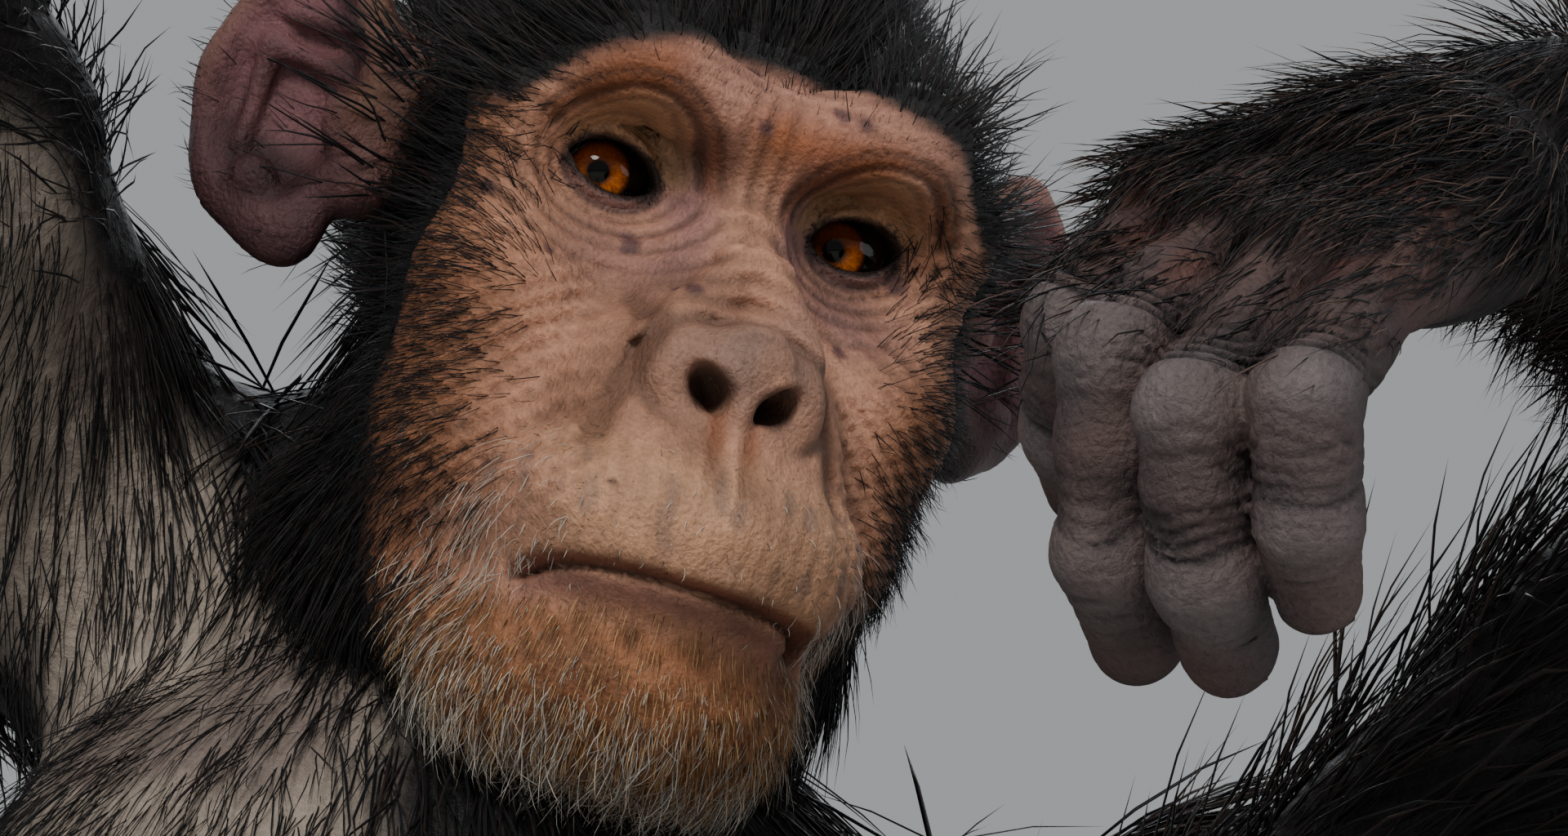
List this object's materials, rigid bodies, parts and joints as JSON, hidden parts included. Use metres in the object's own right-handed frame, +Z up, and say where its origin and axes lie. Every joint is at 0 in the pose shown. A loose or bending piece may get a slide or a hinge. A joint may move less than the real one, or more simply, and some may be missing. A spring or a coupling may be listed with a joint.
{
  "type": "seated chimpanzee",
  "caption": "Life-size seated chimpanzee, one forearm over its raised knee with the hand hanging, the other hand on its head.",
  "frame": {"origin": "middle of the footprint's bounding box, at floor level", "axes": "+Z up, the chest and feet face -Y, the animal's left is +X"},
  "size_m": [0.6612, 0.583, 0.6023],
  "materials": {
    "face_and_coat": "bare tan face skin, black hair behind the hairline",
    "eye": "wet, amber-brown iris",
    "bare_skin": "wrinkled grey-brown skin with sparse hair",
    "coat": "coarse black hair, a little glossy"
  },
  "bodies": {
    "root": {"big_toe_left": "bare_skin", "big_toe_right": "bare_skin", "ear_left": "bare_skin", "ear_right": "bare_skin", "eye_left": "eye", "eye_right": "eye", "foot_left": "bare_skin", "foot_right": "bare_skin", "forearm_left": "coat", "forearm_right": "coat", "hand_left": "bare_skin", "hand_right": "bare_skin", "head": "face_and_coat", "index_finger_left": "bare_skin", "index_finger_right": "bare_skin", "little_finger_left": "bare_skin", "little_finger_right": "bare_skin", "middle_finger_left": "bare_skin", "middle_finger_right": "bare_skin", "neck": "coat", "ring_finger_left": "bare_skin", "ring_finger_right": "bare_skin", "shin_left": "coat", "shin_right": "coat", "thigh_left": "coat", "thigh_right": "coat", "thumb_left": "bare_skin", "thumb_right": "bare_skin", "toe_2_left": "bare_skin", "toe_2_right": "bare_skin", "toe_3_left": "bare_skin", "toe_3_right": "bare_skin", "toe_4_left": "bare_skin", "toe_4_right": "bare_skin", "toe_5_left": "bare_skin", "toe_5_right": "bare_skin", "torso": "coat", "upper_arm_left": "coat", "upper_arm_right": "coat"}
  },
  "joints": []
}
